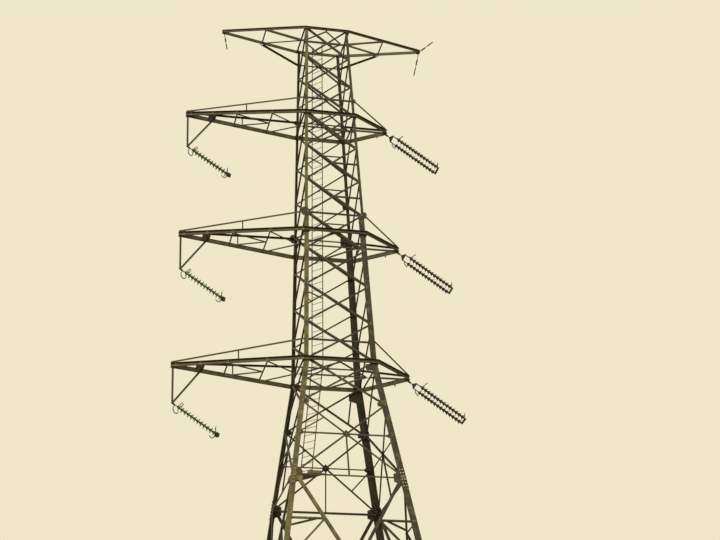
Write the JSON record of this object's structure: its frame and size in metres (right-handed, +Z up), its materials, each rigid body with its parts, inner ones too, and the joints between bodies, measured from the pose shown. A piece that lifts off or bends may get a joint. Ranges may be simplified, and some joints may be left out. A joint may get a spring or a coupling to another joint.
{
  "type": "lattice transmission pylon",
  "caption": "Angle lattice tower for a bend in an overhead line, with long and short crossarms and leaning insulator strings on hinges.",
  "frame": {"origin": "on the ground at the tower's axis, level with the undersides of the foot plates", "axes": "+Z up the tower's axis, +X along the crossarms towards the short arms, +Y along the line, away from the picture's side"},
  "size_m": [11.4889, 7.62, 30.49],
  "materials": {
    "tower_steel": "weathered, dull",
    "string_fittings": "dull galvanised",
    "green_glass": "glossy",
    "brown_glaze": "glossy"
  },
  "bodies": {
    "tower": {"bracing_back_base_left": "tower_steel", "bracing_back_base_right": "tower_steel", "bracing_back_middle": "tower_steel", "bracing_back_upper": "tower_steel", "bracing_front_base_left": "tower_steel", "bracing_front_base_right": "tower_steel", "bracing_front_middle": "tower_steel", "bracing_front_upper": "tower_steel", "bracing_left_base_left": "tower_steel", "bracing_left_base_right": "tower_steel", "bracing_left_middle": "tower_steel", "bracing_left_upper": "tower_steel", "bracing_right_base_left": "tower_steel", "bracing_right_base_right": "tower_steel", "bracing_right_middle": "tower_steel", "bracing_right_upper": "tower_steel", "crossarm_lower": "tower_steel", "crossarm_middle": "tower_steel", "crossarm_top": "tower_steel", "crossarm_upper": "tower_steel", "earth_wire_fittings": "string_fittings", "foot_plates": "tower_steel", "hip_bracing": "tower_steel", "knee_braces": "tower_steel", "ladder": "tower_steel", "ladder_platform": "tower_steel", "leg_back_left_lower": "tower_steel", "leg_back_left_upper": "tower_steel", "leg_back_right_lower": "tower_steel", "leg_back_right_upper": "tower_steel", "leg_front_left_lower": "tower_steel", "leg_front_left_upper": "tower_steel", "leg_front_right_lower": "tower_steel", "leg_front_right_upper": "tower_steel", "ties_lower": "tower_steel", "ties_middle": "tower_steel", "ties_upper": "tower_steel", "tip_brackets": "tower_steel"},
    "string_upper_left": {"fittings_upper_left": "string_fittings", "insulators_upper_left": "green_glass"},
    "string_upper_right": {"fittings_upper_right": "string_fittings", "insulators_upper_right": "brown_glaze"},
    "string_middle_left": {"fittings_middle_left": "string_fittings", "insulators_middle_left": "green_glass"},
    "string_middle_right": {"fittings_middle_right": "string_fittings", "insulators_middle_right": "brown_glaze"},
    "string_lower_left": {"fittings_lower_left": "string_fittings", "insulators_lower_left": "green_glass"},
    "string_lower_right": {"fittings_lower_right": "string_fittings", "insulators_lower_right": "brown_glaze"}
  },
  "joints": [
    {"name": "swing_upper_left", "type": "hinge", "parent": "tower", "child": "string_upper_left", "pos_m": [-5.773, 0, 24.565], "axis": [0, 1, 0], "range_deg": [-8, 55]},
    {"name": "swing_upper_right", "type": "hinge", "parent": "tower", "child": "string_upper_right", "pos_m": [2.612, 0, 25.985], "axis": [0, 1, 0], "range_deg": [-8, 54]},
    {"name": "swing_middle_left", "type": "hinge", "parent": "tower", "child": "string_middle_left", "pos_m": [-5.993, 0, 18.945], "axis": [0, 1, 0], "range_deg": [-8, 55]},
    {"name": "swing_middle_right", "type": "hinge", "parent": "tower", "child": "string_middle_right", "pos_m": [2.852, 0, 20.365], "axis": [0, 1, 0], "range_deg": [-8, 54]},
    {"name": "swing_lower_left", "type": "hinge", "parent": "tower", "child": "string_lower_left", "pos_m": [-6.213, 0, 13.285], "axis": [0, 1, 0], "range_deg": [-8, 55]},
    {"name": "swing_lower_right", "type": "hinge", "parent": "tower", "child": "string_lower_right", "pos_m": [3.002, 0, 14.705], "axis": [0, 1, 0], "range_deg": [-8, 54]}
  ]
}
